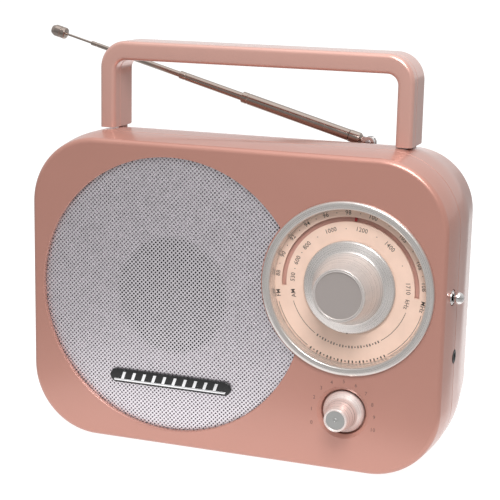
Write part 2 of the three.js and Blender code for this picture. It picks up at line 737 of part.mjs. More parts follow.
add('circuit_board', circuitBoard(), board);
BOARD_SCREWS.forEach(([x, z], i) => add(`board_screw_${i + 1}`, boardScrew(x, z), steel));
add('filter_capacitor', onBoard(84, 52, 6, 22), blackPlastic);
add('audio_chip', onBoardBox(44, 58, 10, 4), blackPlastic);
[[40, 84], [40, 100], [40, 116]].forEach(([x, z], i) => add(`tuning_coil_${i + 1}`, onBoardBox(x, z, 9, 12), steel));
add('ferrite_rod', barX(68, 136, 4.5, -60, 60, 16), ferrite);
add('ferrite_coil', turnedX(68, 136, [[4.9, -20], [6.6, -20], [6.6, 14], [4.9, 14]], 16), copper);
[-50, 50].forEach((x, i) => add(`ferrite_clip_${i + 1}`, ferriteClip(x), whitePlastic));
add('transformer_core', transformerCore(), steel);
add('transformer_winding', transformerWinding(), copper);
add('mains_inlet', inletSocket(), blackPlastic);

add('battery_door', batteryDoor(), roseGold);
add('battery_spring_lower', batterySpring(-1, 28), steel);
add('battery_contact_lower', batteryContact(1, 28), steel);
add('battery_spring_upper', batterySpring(1, 56), steel);
add('battery_contact_upper', batteryContact(-1, 56), steel);

add('handle_front', handleFront(), roseGold);
add('handle_rear', handleRear(), roseGold);
add('handle_pin_left', handlePin(-HANDLE_PIVOT.x), steel);
add('handle_pin_right', handlePin(HANDLE_PIVOT.x), steel);

const antenna = new THREE.Group();
antenna.position.set(ANTENNA_PIVOT.x, yAt(ANTENNA_PIVOT.d), ANTENNA_PIVOT.z);
antenna.rotation.y = Math.PI + ANTENNA_ELEVATION;
radio.add(antenna);

add('antenna_base', antennaBase(), chrome);
add('antenna_knuckle', antennaKnuckle(), chrome, antenna);
TUBES.forEach((tube) => add(tube.name, antennaTube(tube), chrome, antenna));
add('antenna_rod', antennaRod(), chrome, antenna);

export default radio;
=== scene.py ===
import json
import math

import bmesh
import bpy
from mathutils import Matrix, Vector


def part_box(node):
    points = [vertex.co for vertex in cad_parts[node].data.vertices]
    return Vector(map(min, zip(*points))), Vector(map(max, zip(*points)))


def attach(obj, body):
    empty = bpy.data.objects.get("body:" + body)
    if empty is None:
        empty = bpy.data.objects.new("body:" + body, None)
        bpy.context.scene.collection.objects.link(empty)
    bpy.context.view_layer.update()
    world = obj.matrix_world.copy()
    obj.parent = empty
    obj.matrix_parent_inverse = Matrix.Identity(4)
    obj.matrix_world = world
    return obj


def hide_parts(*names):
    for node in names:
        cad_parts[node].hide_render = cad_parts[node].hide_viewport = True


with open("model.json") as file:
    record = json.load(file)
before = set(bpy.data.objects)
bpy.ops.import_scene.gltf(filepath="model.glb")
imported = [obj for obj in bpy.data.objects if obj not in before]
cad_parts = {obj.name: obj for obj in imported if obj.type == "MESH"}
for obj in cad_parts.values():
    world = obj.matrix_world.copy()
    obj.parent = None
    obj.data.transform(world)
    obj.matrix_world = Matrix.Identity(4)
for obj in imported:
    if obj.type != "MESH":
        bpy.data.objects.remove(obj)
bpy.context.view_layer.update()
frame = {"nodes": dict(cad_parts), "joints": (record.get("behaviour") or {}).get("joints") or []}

# Everything below is in millimetres, in the row frame: +Z up, the front faces -Y.
MM = 0.001


def box_mm(node):
    low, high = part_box(node)
    return Vector(low) / MM, Vector(high) / MM


def middle(node):
    low, high = box_mm(node)
    return (low + high) / 2


# ---------------------------------------------------------------- sizes, from the frame

FRONT_LOW, FRONT_HIGH = box_mm("front_shell")
REAR_LOW, REAR_HIGH = box_mm("rear_shell")
FRONT_Y = FRONT_LOW.y
BACK_Y = REAR_HIGH.y
DEPTH = BACK_Y - FRONT_Y
GAP = 0.3
BULGE = 1.8
WIDTH = FRONT_HIGH.x - FRONT_LOW.x - 2 * BULGE
HEIGHT = FRONT_HIGH.z - BULGE
CORNER = 38
WALL = 2.5
SEAM = REAR_LOW.y - FRONT_Y - GAP
FRONT_ROUND = 3
REAR_ROUND = 4
TAPER_START = 39
TAPER_END = 78
TAPER_INSET = 3.8
LEDGE_X = (-78, 82)
LEDGE_DEPTH = 70
LEDGE_FLOOR = 158.5

GRILLE_LOW, GRILLE_HIGH = box_mm("speaker_grille")
GRILLE_PLATE_R = (GRILLE_HIGH.z - GRILLE_LOW.z) / 2
GRILLE = Vector((GRILLE_LOW.x + GRILLE_PLATE_R, 0, middle("speaker_grille").z))
GRILLE_R = GRILLE_PLATE_R - 1.8

DIAL = middle("dial_bezel")
DIAL_RIM = (box_mm("dial_bezel")[1].x - box_mm("dial_bezel")[0].x) / 2
DIAL_SEAT = DIAL_RIM + 0.65
DIAL_BORE = 43
SLOT_R = 36
SLOT_HALF = 1.3

VOLUME = middle("volume_knob")
LEVER = middle("band_lever")
JACK = middle("jack_socket")
SIDE_HOLE_R = {"lever": 4.3, "jack": 3.9}
PRINT_HEIGHT = 0.03


def y_at(depth):
    return FRONT_Y + depth


def on_circle(radius, degrees):
    angle = math.radians(degrees)
    return radius * math.cos(angle), radius * math.sin(angle)


def rounded_edge(radius, steps):
    """(run, inset) round a quarter circle, from where it leaves the side to the face."""
    angles = [math.radians(90 * k / steps) for k in range(steps + 1)]
    return [(radius * (1 - math.sin(angle)), radius * (1 - math.cos(angle))) for angle in angles]


# ---------------------------------------------------------------- camera, floor and light

CAMERA_ANGLES = [math.radians(angle) for angle in (19.85, 12.29, 1.21)]
CAMERA_DISTANCE = 757.03
CAMERA_LENS = 103.27
CAMERA_TARGET = Vector((11.7, FRONT_Y, 115.49))
SENSOR = 36


def make_camera():
    azimuth, elevation, roll = CAMERA_ANGLES
    back = Vector((math.sin(azimuth) * math.cos(elevation), -math.cos(azimuth) * math.cos(elevation),
                   math.sin(elevation)))
    level = Vector((math.cos(azimuth), math.sin(azimuth), 0))
    upright = back.cross(level)
    right = level * math.cos(roll) + upright * math.sin(roll)
    up = upright * math.cos(roll) - level * math.sin(roll)
    place = Matrix((right, up, back)).transposed().to_4x4()
    place.translation = (CAMERA_TARGET + back * CAMERA_DISTANCE) * MM
    data = bpy.data.cameras.new("camera")
    data.sensor_width = SENSOR
    data.lens = CAMERA_LENS
    camera = bpy.data.objects.new("camera", data)
    camera.matrix_world = place
    bpy.context.scene.collection.objects.link(camera)
    bpy.context.scene.camera = camera


def along(tree, coords, direction):
    """How far the coordinates reach in a direction."""
    node = tree.nodes.new("ShaderNodeVectorMath")
    node.operation = "DOT_PRODUCT"
    node.inputs[1].default_value = direction
    tree.links.new(coords, node.inputs[0])
    return node.outputs["Value"]


def map_range(tree, value, source, target, interpolation="LINEAR"):
    node = tree.nodes.new("ShaderNodeMapRange")
    node.interpolation_type = interpolation
    node.inputs["From Min"].default_value, node.inputs["From Max"].default_value = source
    node.inputs["To Min"].default_value, node.inputs["To Max"].default_value = target
    tree.links.new(value, node.inputs["Value"])
    return node.outputs["Result"]


def floor_glow(tree):
    """Painted light: the floor glows at full strength where the camera looks, and dimmer beside and in front of it.
    """
    azimuth = CAMERA_ANGLES[0]
    coords = tree.nodes.new("ShaderNodeTexCoord").outputs["Object"]

    def calc(operation, first, second):
        node = tree.nodes.new("ShaderNodeMath")
        node.operation = operation
        for socket, value in zip(node.inputs, (first, second)):
            if isinstance(value, float):
                socket.default_value = value
            else:
                tree.links.new(value, socket)
        return node.outputs["Value"]

    across = along(tree, coords, (math.cos(azimuth), math.sin(azimuth), 0))
    away = along(tree, coords, (-math.sin(azimuth), math.cos(azimuth), 0))
    half_view = calc("MULTIPLY", calc("ADD", away, CAMERA_DISTANCE * MM), SENSOR / 2 / CAMERA_LENS)
    margin, full_strength = 0.03, 0.92
    outside = calc("DIVIDE", calc("ABSOLUTE", across, 0.0), calc("ADD", half_view, margin))
    beside = map_range(tree, outside, (1.0, 1.35), (1.0, 0.2), "SMOOTHSTEP")
    in_front = map_range(tree, away, (-0.15, -0.1), (0.12, 1.0), "SMOOTHSTEP")
    return calc("MULTIPLY", calc("MULTIPLY", beside, in_front), full_strength)


def make_floor():
    mesh = bpy.data.meshes.new("floor")
    half, drop = 40.0, 0.0003
    mesh.from_pydata([(-half, -half, 0), (half, -half, 0), (half, half, 0), (-half, half, 0)], [], [(0, 1, 2, 3)])
    floor = bpy.data.objects.new("floor", mesh)
    floor.location.z = -drop
    bpy.context.scene.collection.objects.link(floor)
    material, shader = new_material("floor_white")
    shader.inputs["Base Color"].default_value = (0.3, 0.3, 0.3, 1)
    shader.inputs["Roughness"].default_value = 0.9
    shader.inputs["Specular IOR Level"].default_value = 0.0
    shader.inputs["Emission Color"].default_value = (1, 1, 1, 1)
    # The glow is painted light: it lifts the floor to white, fills the shadows round the object and lights it from
    # below.
    material.node_tree.links.new(floor_glow(material.node_tree), shader.inputs["Emission Strength"])
    mesh.materials.append(material)


def area_light(name, place, target, size, power):
    data = bpy.data.lights.new(name, "AREA")
    data.shape = "RECTANGLE"
    data.size, data.size_y = size
    data.energy = power
    light = bpy.data.objects.new(name, data)
    light.location = place
    light.rotation_euler = (Vector(target) - Vector(place)).to_track_quat("-Z", "Y").to_euler()
    bpy.context.scene.collection.objects.link(light)


def make_lights():
    world = bpy.data.worlds.new("studio")
    bpy.context.scene.world = world
    world.use_nodes = True
    tree = world.node_tree
    # A pale room that is brighter above and behind the object than in front of it.
    brightest = (-0.3, 0.72, 0.62)
    coords = tree.nodes.new("ShaderNodeTexCoord").outputs["Generated"]
    strength = map_range(tree, along(tree, coords, brightest), (-1, 1), (0.22, 0.85))
    tree.links.new(strength, tree.nodes["Background"].inputs["Strength"])
    tree.nodes["Background"].inputs["Color"].default_value = (1, 1, 1, 1)
    area_light("top_softbox", (0.1, -0.1, 1.3), (0, 0, 0.05), (1.6, 1.2), 4)
    area_light("front_softbox", (0.25, -0.6, 0.75), (0.08, 0, 0.16), (0.4, 0.4), 7)
    bpy.context.scene.view_settings.view_transform = "Standard"


# ---------------------------------------------------------------- materials

def new_material(name):
    material = bpy.data.materials.new(name)
    material.use_nodes = True
    return material, material.node_tree.nodes["Principled BSDF"]


def object_coords(tree, centre=(0, 0, 0)):
    """The piece's own coordinates in millimetres, measured from a centre."""
    coords = tree.nodes.new("ShaderNodeTexCoord")
    mapping = tree.nodes.new("ShaderNodeMapping")
    mapping.inputs["Scale"].default_value = (1 / MM,) * 3
    mapping.inputs["Location"].default_value = tuple(-c for c in centre)
    tree.links.new(coords.outputs["Object"], mapping.inputs["Vector"])
    return mapping.outputs["Vector"]


def noise(tree, vector, scale, detail=2.0):
    node = tree.nodes.new("ShaderNodeTexNoise")
    node.inputs["Scale"].default_value = scale
    node.inputs["Detail"].default_value = detail
    tree.links.new(vector, node.inputs["Vector"])
    return node.outputs["Fac"]


def spread(tree, value, low, high):
    """Stretches the middle of a noise, where most of it lies, over low to high."""
    return map_range(tree, value, (0.3, 0.7), (low, high))


def blend_colours(tree, value, first, second):
    ramp = tree.nodes.new("ShaderNodeValToRGB")
    for element, position, tint in zip(ramp.color_ramp.elements, (0.35, 0.65), (first, second)):
        element.position = position
        element.color = (*tint, 1)
    tree.links.new(value, ramp.inputs["Fac"])
    return ramp.outputs["Color"]


def add_bump(tree, shader, value, strength, depth_mm):
    bump = tree.nodes.new("ShaderNodeBump")
    bump.inputs["Strength"].default_value = strength
    bump.inputs["Distance"].default_value = depth_mm * MM
    tree.links.new(value, bump.inputs["Height"])
    tree.links.new(bump.outputs["Normal"], shader.inputs["Normal"])


def shade(tint, amount):
    return tuple(channel * amount for channel in tint)


def metallic_paint(name, tint, metallic, roughness, coat):
    """Sprayed metallic lacquer: fine flakes, a slow drift in tone and a light orange-peel."""
    material, shader = new_material(name)
    tree = material.node_tree
    vector = object_coords(tree)
    flakes = noise(tree, vector, 6.0, 1.0)
    tree.links.new(blend_colours(tree, flakes, shade(tint, 0.95), shade(tint, 1.05)), shader.inputs["Base Color"])
    tree.links.new(spread(tree, noise(tree, vector, 0.04), roughness - 0.03, roughness + 0.03),
                   shader.inputs["Roughness"])
    add_bump(tree, shader, noise(tree, vector, 1.2, 2.0), 0.06, 0.05)
    shader.inputs["Metallic"].default_value = metallic
    shader.inputs["Coat Weight"].default_value = coat
    shader.inputs["Coat Roughness"].default_value = 0.12
    return material


def polished_metal(name, tint, roughness, wear=1.0):
    """Plated metal with faint handling marks."""
    material, shader = new_material(name)
    tree = material.node_tree
    vector = object_coords(tree)
    marks = noise(tree, vector, 0.25, 4.0)
    least, most = roughness * (1 - 0.25 * wear), roughness * (1 + 0.3 * wear)
    tree.links.new(spread(tree, marks, least, most), shader.inputs["Roughness"])
    tree.links.new(blend_colours(tree, marks, shade(tint, 0.97), tint), shader.inputs["Base Color"])
    shader.inputs["Metallic"].default_value = 1.0
    return material


def turned_metal(name, tint, roughness, centre, ring_scale, metallic=1.0):
    """Satin metal with the fine rings that a lathe leaves round an axis along Y."""
    material, shader = new_material(name)
    tree = material.node_tree
    vector = object_coords(tree, centre)
    flat = tree.nodes.new("ShaderNodeVectorMath")
    flat.operation = "MULTIPLY"
    flat.inputs[1].default_value = (1, 0, 1)
    radius = tree.nodes.new("ShaderNodeVectorMath")
    radius.operation = "LENGTH"
    rings = tree.nodes.new("ShaderNodeTexNoise")
    rings.noise_dimensions = "1D"
    rings.inputs["Scale"].default_value = ring_scale
    rings.inputs["Detail"].default_value = 3.0
    tree.links.new(vector, flat.inputs[0])
    tree.links.new(flat.outputs["Vector"], radius.inputs[0])
    tree.links.new(radius.outputs["Value"], rings.inputs["W"])
    grooves = rings.outputs["Fac"]
    tree.links.new(spread(tree, grooves, roughness - 0.05, roughness + 0.08), shader.inputs["Roughness"])
    tree.links.new(blend_colours(tree, grooves, shade(tint, 0.93), tint), shader.inputs["Base Color"])
    add_bump(tree, shader, grooves, 0.12, 0.03)
    shader.inputs["Metallic"].default_value = metallic
    return material


def moulded_plastic(name, tint, roughness, grain=3.0, bump=0.08):
    """Moulded plastic or card with a fine grain."""
    material, shader = new_material(name)
    tree = material.node_tree
    vector = object_coords(tree)
    tone = noise(tree, vector, 0.12, 3.0)
    tree.links.new(blend_colours(tree, tone, shade(tint, 0.94), tint), shader.inputs["Base Color"])
    tree.links.new(spread(tree, noise(tree, vector, grain), roughness - 0.06, roughness + 0.06),
                   shader.inputs["Roughness"])
    add_bump(tree, shader, noise(tree, vector, grain, 3.0), bump, 0.06)
    return material


def wound_wire(name, tint, axis):
    """Enamelled wire laid in turns along an axis, with painted shade darkening the grooves between the turns."""
    material, shader = new_material(name)
    tree = material.node_tree
    vector = object_coords(tree)
    wave = tree.nodes.new("ShaderNodeTexWave")
    wave.bands_direction = axis
    wave.inputs["Scale"].default_value = 0.6
    wave.inputs["Distortion"].default_value = 0.6
    tree.links.new(vector, wave.inputs["Vector"])
    # Darker where the bump dips: painted shade between the turns.
    tree.links.new(blend_colours(tree, wave.outputs["Fac"], shade(tint, 0.55), tint), shader.inputs["Base Color"])
    add_bump(tree, shader, wave.outputs["Fac"], 0.5, 0.2)
    shader.inputs["Metallic"].default_value = 0.8
    shader.inputs["Roughness"].default_value = 0.35
    return material


make_camera()
make_floor()
make_lights()

ROSE = metallic_paint("rose_paint", (0.50, 0.242, 0.192), 0.35, 0.36, 0.5)
HANDLE_ROSE = metallic_paint("rose_handle_paint", (0.66, 0.375, 0.315), 0.4, 0.3, 0.8)
GRILLE_METAL = polished_metal("grille_metal", (0.88, 0.84, 0.88), 0.46, 0.15)
KNOB_METAL = turned_metal("knob_metal", (0.72, 0.68, 0.655), 0.28, tuple(DIAL), 7.0, 0.75)
KNOB_GRIP = turned_metal("knob_grip", (0.68, 0.635, 0.61), 0.3, tuple(DIAL), 7.0, 0.5)
KNOB_CAP = turned_metal("knob_cap", (0.46, 0.41, 0.39), 0.36, tuple(DIAL), 7.0, 0.5)
BEZEL_METAL = turned_metal("bezel_metal", (0.72, 0.68, 0.65), 0.28, tuple(DIAL), 5.0, 0.85)
VOLUME_METAL = turned_metal("volume_metal", (0.88, 0.77, 0.73), 0.3, tuple(VOLUME), 7.0, 0.5)
VOLUME_CAP = turned_metal("volume_cap", (0.42, 0.42, 0.41), 0.34, tuple(VOLUME), 7.0, 0.6)
# Chrome tinted dark brown: a painted reflection of a darker room on the antenna tubes and rod.
ANTENNA_CHROME_PAINTED_REFLECTION = polished_metal("antenna_chrome_painted_reflection", (0.42, 0.35, 0.31), 0.16)
CHROME = polished_metal("chrome", (0.78, 0.76, 0.75), 0.07)
TRIM_CHROME = polished_metal("trim_chrome", (0.85, 0.85, 0.86), 0.12)
TRIM_BLACK = moulded_plastic("trim_black", (0.012, 0.012, 0.013), 0.35)
CREAM = moulded_plastic("dial_cream", (0.84, 0.605, 0.49), 0.5, 5.0, 0.03)
BROWN = moulded_plastic("dial_brown", (0.62, 0.34, 0.28), 0.45, 5.0, 0.03)
PRINT = moulded_plastic("dial_print", (0.10, 0.085, 0.075), 0.6, 5.0, 0.0)
CASE_PRINT = moulded_plastic("case_print", (0.20, 0.105, 0.085), 0.6, 5.0, 0.0)
POINTER_RED = moulded_plastic("pointer_red", (0.36, 0.018, 0.02), 0.45, 5.0, 0.03)
BLACK = moulded_plastic("black_plastic", (0.018, 0.018, 0.018), 0.5)
BAFFLE = moulded_plastic("baffle_plastic", (0.80, 0.76, 0.78), 0.7)
PAPER = moulded_plastic("cone_paper", (0.032, 0.03, 0.032), 0.85, 1.5, 0.3)
STEEL = polished_metal("plain_steel", (0.50, 0.50, 0.51), 0.32)
BOARD = moulded_plastic("board_laminate", (0.30, 0.17, 0.06), 0.55)
WHITE = moulded_plastic("white_plastic", (0.72, 0.70, 0.65), 0.45)
FERRITE = moulded_plastic("ferrite", (0.035, 0.034, 0.036), 0.6, 2.0, 0.2)
COIL_WIRE = wound_wire("coil_wire", (0.55, 0.24, 0.10), "X")
WINDING_WIRE = wound_wire("winding_wire", (0.55, 0.24, 0.10), "Y")


# ---------------------------------------------------------------- mesh helpers

def make_object(name, verts, faces, material, soft_angle=32):
    """A closed mesh, smooth where its faces meet at less than soft_angle degrees."""
    mesh = bpy.data.meshes.new(name)
    mesh.from_pydata([Vector(v) * MM for v in verts], [], faces)
    return finish_mesh(name, mesh, material, soft_angle)


def finish_mesh(name, mesh, material, soft_angle=32):
    work = bmesh.new()
    work.from_mesh(mesh)
    bmesh.ops.remove_doubles(work, verts=work.verts, dist=1e-7)
    bmesh.ops.recalc_face_normals(work, faces=work.faces)
    if work.calc_volume(signed=True) < 0:
        bmesh.ops.reverse_faces(work, faces=work.faces)
    work.to_mesh(mesh)
    work.free()
    if material:
        mesh.materials.clear()
        mesh.materials.append(material)
        for polygon in mesh.polygons:
            polygon.material_index = 0
    mesh.shade_smooth()
    mesh.set_sharp_from_angle(angle=math.radians(soft_angle))
    piece = bpy.data.objects.new(name, mesh)
    bpy.context.scene.collection.objects.link(piece)
    return piece


def loft_mesh(rings):
    """Vertices and faces through rings of equal count, closed at both ends."""
    count = len(rings[0])
    verts = [point for ring in rings for point in ring]
    faces = []
    for r in range(len(rings) - 1):
        for i in range(count):
            j = (i + 1) % count
            faces.append((r * count + i, r * count + j, (r + 1) * count + j, (r + 1) * count + i))
    faces.append(tuple(reversed(range(count))))
    faces.append(tuple(range((len(rings) - 1) * count, len(rings) * count)))
    return verts, faces


def fillet(points, closed=False, steps=5):
    """Points (u, v, radius) with each corner rounded by its radius."""
    out = []
    count = len(points)
    for i, (u, v, radius) in enumerate(points):
        corner = Vector((u, v))
        if radius == 0 or (not closed and i in (0, count - 1)):
            out.append((u, v))
            continue
        before = Vector(points[i - 1][:2]) - corner
        after = Vector(points[(i + 1) % count][:2]) - corner
        reach = radius / math.tan(before.angle(after) / 2)
        reach = min(reach, before.length * 0.49, after.length * 0.49)
        start = corner + before.normalized() * reach
        end = corner + after.normalized() * reach
        for k in range(steps + 1):
            t = k / steps
            point = start * (1 - t) ** 2 + corner * (2 * t * (1 - t)) + end * t ** 2
            out.append((point.x, point.y))
    return out


def turn_points(profile, axis, steps):
    """Sweeps (radius, along) points round an axis through the origin."""
    frames = {
        "X": lambda r, a, c, s: (a, r * c, r * s),
        "Y": lambda r, a, c, s: (r * c, a, r * s),
        "Z": lambda r, a, c, s: (r * c, r * s, a),
    }
    place = frames[axis]
    rings = []
    for k in range(steps):
        angle = 2 * math.pi * k / steps
        rings.append([place(r, a, math.cos(angle), math.sin(angle)) for r, a in profile])
    return rings


def turn(name, profile, centre, material, axis="Y", steps=96, ring=False, soft_angle=32):
    """A lathe-turned piece; a ring's profile closes on itself, any other ends on the axis."""
    count = len(profile)
    columns = turn_points(profile, axis, steps)
    verts = [Vector(point) + Vector(centre) for column in columns for point in column]
    faces = []
    spans = count if ring else count - 1
    for k in range(steps):
        m = (k + 1) % steps
        for i in range(spans):
            j = (i + 1) % count
            corners = [k * count + i, k * count + j, m * count + j, m * count + i]
            on_axis_i = not ring and profile[i][0] == 0
            on_axis_j = not ring and profile[j][0] == 0
            if on_axis_i and on_axis_j:
                continue
            if on_axis_i:
                corners = [k * count + i, k * count + j, m * count + j]
            elif on_axis_j:
                corners = [k * count + i, k * count + j, m * count + i]
            faces.append(tuple(corners))
    return make_object(name, verts, faces, material, soft_angle)


def block(low, high, material=None, name="cutter"):
    (x0, y0, z0), (x1, y1, z1) = low, high
    rings = [[(x0, y0, z), (x1, y0, z), (x1, y1, z), (x0, y1, z)] for z in (z0, z1)]
    return make_object(name, *loft_mesh(rings), material)


def turn_y(name, profile, centre, material, **options):
    """A turned piece on an axis along Y, its profile given as (radius, depth)."""
    placed = [(radius, y_at(depth)) for radius, depth in profile]
    return turn(name, placed, (centre.x, 0, centre.z), material, **options)


def apply_boolean(piece, tool, operation):
    modifier = piece.modifiers.new("cut", "BOOLEAN")
    modifier.object = tool
    modifier.operation = operation
    modifier.solver = "EXACT"
    graph = bpy.context.evaluated_depsgraph_get()
    mesh = bpy.data.meshes.new_from_object(piece.evaluated_get(graph))
    piece.modifiers.clear()
    old = piece.data
    piece.data = mesh
    bpy.data.meshes.remove(old)
    bpy.data.objects.remove(tool)


def carve(piece, *tools):
    for tool in tools:
        apply_boolean(piece, tool, "DIFFERENCE")


def add_to(piece, *tools):
    for tool in tools:
        apply_boolean(piece, tool, "UNION")


def resurface(piece, material, soft_angle=32):
    """One material and clean shading after the boolean cuts."""
    name = piece.name
    mesh = piece.data
    bpy.data.objects.remove(piece)
    made = finish_mesh(name, mesh, material, soft_angle)
    weighted = made.modifiers.new("weighted", "WEIGHTED_NORMAL")
    weighted.keep_sharp = True
    return made


def stand_in(piece, body, slot, *nodes):
    """The piece rides a body and stands for CAD nodes; the slot argument is not used."""
    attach(piece, body)
    if nodes:
        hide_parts(*nodes)


# ---------------------------------------------------------------- case

def case_profile():
    """(depth, side, base): how far the outline stands out at each depth."""
    stations = [(inset, -run, -run) for run, inset in rounded_edge(FRONT_ROUND, 8)]
    for k in range(1, 9):
        part = k / 8
        depth = FRONT_ROUND + part * (SEAM - FRONT_ROUND)
        stations.append((depth, BULGE * math.sin(part * math.pi / 2), 0))
    # The straight taper starts gently, over a few millimetres.
    slope = (BULGE + TAPER_INSET) / (TAPER_END - TAPER_START)
    ease = 8
    stations.append((TAPER_START - ease, BULGE, 0))
    for k in range(1, 7):
        run = 2 * ease * k / 6
        stations.append((TAPER_START - ease + run, BULGE - slope * run ** 2 / (4 * ease), 0))
    for run, inset in rounded_edge(REAR_ROUND, 8):
        stations.append((TAPER_END + REAR_ROUND - run, -inset - TAPER_INSET, -inset))
    return stations


def case_ring(depth, side, base, steps=24):
    half = WIDTH / 2 - CORNER
    corners = (
        (half, HEIGHT - CORNER, CORNER + side, 0),
        (-half, HEIGHT - CORNER, CORNER + side, 90),
        (-half, CORNER, CORNER + base, 180),
        (half, CORNER, CORNER + base, 270),
    )
    ring = []
    for x, z, height_radius, start in corners:
        for k in range(steps + 1):
            angle = math.radians(start + 90 * k / steps)
            ring.append((x + (CORNER + side) * math.cos(angle), y_at(depth), z + height_radius * math.sin(angle)))
    return ring


def case_solid(name, stations, inset=0.0):
    rings = [case_ring(depth, side - inset, base - inset) for depth, side, base in stations]
    return make_object(name, *loft_mesh(rings), None)


def bar_y(centre, radius, near, far, steps=96, flare=0.0):
    """A round cutter along Y, its near mouth opened out by flare."""
    profile = [(0, near), (radius, near), (radius, far), (0, far)]
    if flare:
        mouth = [(radius + run, inset) for run, inset in rounded_edge(flare, 6)]
        profile = [(0, near), (radius + flare, near)] + mouth + profile[2:]
    return turn_y("cutter", profile, centre, None, steps=steps)


def bar_x(centre, radius, near, far, steps=48):
    profile = [(0, near), (radius, near), (radius, far), (0, far)]
    return turn("cutter", profile, (0, centre.y, centre.z), None, axis="X", steps=steps)


def side_holes():
    outside = WIDTH / 2 + 8
    inside = WIDTH / 2 - 6
    return [bar_x(LEVER, SIDE_HOLE_R["lever"], inside, outside), bar_x(JACK, SIDE_HOLE_R["jack"], inside, outside)]


def seam_edge(stations, at_end):
    """Breaks the sharp edge where the two shells meet."""
    break_size = 0.35
    depth, side, base = stations[-1] if at_end else stations[0]
    rim = (depth, side - break_size, base)
    if at_end:
        return stations[:-1] + [(depth - break_size, side, base), rim]
    return [rim, (depth + break_size, side, base)] + stations[1:]


def front_shell():
    stations = [s for s in case_profile() if s[0] <= SEAM + 1e-6]
    cavity = [(WALL, 0, 0)] + [s for s in stations if s[0] > WALL] + [(SEAM + 1, BULGE, 0)]
    shell = case_solid("case_front", seam_edge(stations, True))
    carve(shell, case_solid("cavity", cavity, WALL))
    opening = bar_y(GRILLE, GRILLE_R, -1, WALL + 1, 160, flare=0.5)
    carve(opening, bar_y(DIAL, DIAL_SEAT, -3, WALL + 3, 128))
    carve(shell, opening, bar_y(DIAL, DIAL_BORE, -1, WALL + 1, 128))
    add_to(shell, bar_y(VOLUME, 15.6, 2, 7, 64))
    dish = fillet([(0, -1, 0), (14.9, -1, 0), (14.3, 0, 0.5), (12.3, 1.6, 1.0), (12.1, 4.5, 0.4), (0, 4.5, 0)])
    carve(shell, turn_y("cutter", dish, VOLUME, None), bar_y(VOLUME, 4, 3.5, 8, 32), *side_holes())
    shell = resurface(shell, ROSE)
    stand_in(shell, "case", "rose_case", "front_shell")


def screw_places():
    return [middle(f"case_screw_{i}") for i in range(1, 6)]


def handle_lugs():
    """The two ears on the case top that the handle turns on."""
    lugs = []
    radius, half_thickness = 3.4, 1.3
    for side in ("left", "right"):
        pin = middle(f"handle_pin_{side}")
        near, far = pin.x - half_thickness, pin.x + half_thickness
        lugs.append(bar_x(pin, radius, near, far))
        lugs.append(block((near, pin.y - radius, HEIGHT - 2.2), (far, pin.y + radius, pin.z)))
    return lugs


def rear_shell():
    stations = [(SEAM + GAP, BULGE, 0)] + [s for s in case_profile() if s[0] > SEAM + 0.1]
    shell = case_solid("case_rear", seam_edge(stations, False))
    floor = DEPTH - WALL
    cavity = [(SEAM - 1, BULGE, 0), (TAPER_START - 4, BULGE - 0.1, 0), (TAPER_END - 2, -TAPER_INSET + 0.2, 0),
              (floor, -TAPER_INSET - 2.2, -2)]
    carve(shell, case_solid("cavity", cavity, WALL))

    left, right = LEDGE_X
    ledge_y = y_at(LEDGE_DEPTH)
    bay_low, bay_high = box_mm("battery_door")
    bay = (bay_low.x - GAP, bay_high.x + GAP, bay_low.z - GAP, bay_high.z + GAP)
    inlet_low, inlet_high = box_mm("mains_inlet")
    back = BACK_Y
    ledge_lining = block((left - WALL, ledge_y - WALL, LEDGE_FLOOR - WALL), (right + WALL, back - 2, HEIGHT))
    apply_boolean(ledge_lining, case_solid("inside_skin", stations, WALL / 2), "INTERSECT")
    add_to(shell, *handle_lugs(), ledge_lining,
           block((bay[0] - 2, y_at(48.5), bay[2] - 2), (bay[1] + 2, back - 1, bay[3] + 2)),
           block((inlet_low.x - 3, back - 6, inlet_low.z - 3), (inlet_high.x + 3, back - 1, inlet_high.z + 3)))
    carve(shell,
          block((left, ledge_y, LEDGE_FLOOR), (right, back + 5, HEIGHT + 5)),
          block((bay[0], y_at(50.5), bay[2]), (bay[1], back + 5, bay[3])),
          block((inlet_low.x - GAP, y_at(70), inlet_low.z - GAP), (inlet_high.x + GAP, back + 2, inlet_high.z + GAP)))
    for place in screw_places():
        carve(shell, bar_y(place, 3.9, 76, DEPTH + 2, 40))
    base = middle("antenna_base")
    swivel = [(0, LEDGE_FLOOR - 4), (2.5, LEDGE_FLOOR - 4), (2.5, LEDGE_FLOOR + 1), (0, LEDGE_FLOOR + 1)]
    carve(shell, turn("cutter", swivel, (base.x, base.y, 0), None, axis="Z", steps=32), *side_holes())
    shell = resurface(shell, ROSE)
    stand_in(shell, "case", "rose_case", "rear_shell")


# ---------------------------------------------------------------- sheets with holes

def thick_sheet(name, points, faces, near, far, material, soft_angle=32):
    """Makes flat faces in X and Z solid between two Y planes, with a wall along every free edge."""
    count = len(points)
    verts = [(x, near, z) for x, z in points] + [(x, far, z) for x, z in points]
    used = {(face[i - 1], face[i]) for face in faces for i in range(len(face))}
    solid = list(faces) + [tuple(count + i for i in reversed(face)) for face in faces]
    for a, b in used:
        if (b, a) not in used:
            solid.append((b, a, count + a, count + b))
    return make_object(name, verts, solid, material, soft_angle)


